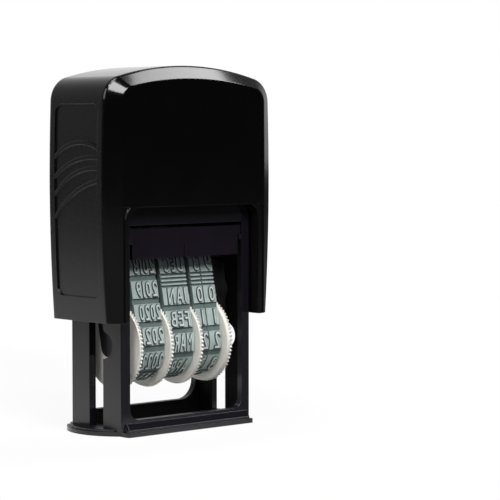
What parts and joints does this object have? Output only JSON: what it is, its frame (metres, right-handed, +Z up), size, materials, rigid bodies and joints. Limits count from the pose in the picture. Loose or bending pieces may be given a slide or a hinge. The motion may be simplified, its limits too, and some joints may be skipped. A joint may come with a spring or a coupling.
{
  "type": "self-inking date stamp",
  "caption": "Self-inking mini date stamp: a sprung case slides down a frame, and a carrier with type bands and thumbwheels flips from the ink pad to the paper.",
  "frame": {"origin": "middle of the base's underside, where the stamp stands on the paper", "axes": "+X along the front, -Y out of the front, +Z up along the press"},
  "size_m": [0.041, 0.0198, 0.068],
  "materials": {
    "frame": "gloss",
    "case": "gloss",
    "cassette": "satin",
    "pad": "ink-soaked felt",
    "spring": "satin",
    "carrier": "satin",
    "pin": "satin",
    "wheel": "satin",
    "band": "matt"
  },
  "bodies": {
    "frame": {"inner_frame": "frame", "ink_tray": "cassette", "ink_pad": "pad", "return_spring": "spring"},
    "case": {"outer_case": "case"},
    "carrier": {"carrier_left_plate": "carrier", "carrier_right_plate": "carrier", "pivot_pin_left": "pin", "pivot_pin_right": "pin", "platen": "carrier", "wheel_axle": "pin", "axle_spacer": "wheel", "year_band": "band", "month_band": "band", "tens_band": "band", "units_band": "band"},
    "year_wheel_body": {"year_wheel": "wheel"},
    "month_wheel_body": {"month_wheel": "wheel"},
    "tens_wheel_body": {"tens_wheel": "wheel"},
    "units_wheel_body": {"units_wheel": "wheel"}
  },
  "joints": [
    {"name": "case_press", "type": "slide", "parent": "frame", "child": "case", "axis": [0, 0, -1], "range_m": [0, 0.01735], "stiffness_N_per_m": 400, "springref_m": -0.012, "deforming": ["return_spring"]},
    {"name": "carrier_flip", "type": "hinge", "parent": "case", "child": "carrier", "pos_m": [0, 0, 0.02525], "axis": [-1, 0, 0], "range_deg": [0, 180]},
    {"name": "year_set", "type": "hinge", "parent": "carrier", "child": "year_wheel_body", "pos_m": [0, -0.0006, 0.016], "axis": [1, 0, 0], "continuous": true},
    {"name": "month_set", "type": "hinge", "parent": "carrier", "child": "month_wheel_body", "pos_m": [0, -0.0006, 0.016], "axis": [1, 0, 0], "continuous": true},
    {"name": "tens_set", "type": "hinge", "parent": "carrier", "child": "tens_wheel_body", "pos_m": [0, -0.0006, 0.016], "axis": [1, 0, 0], "continuous": true},
    {"name": "units_set", "type": "hinge", "parent": "carrier", "child": "units_wheel_body", "pos_m": [0, -0.0006, 0.016], "axis": [1, 0, 0], "continuous": true}
  ],
  "couplings": [
    {"joint": "carrier_flip", "follows": "case_press", "rad_per_m": 181}
  ]
}
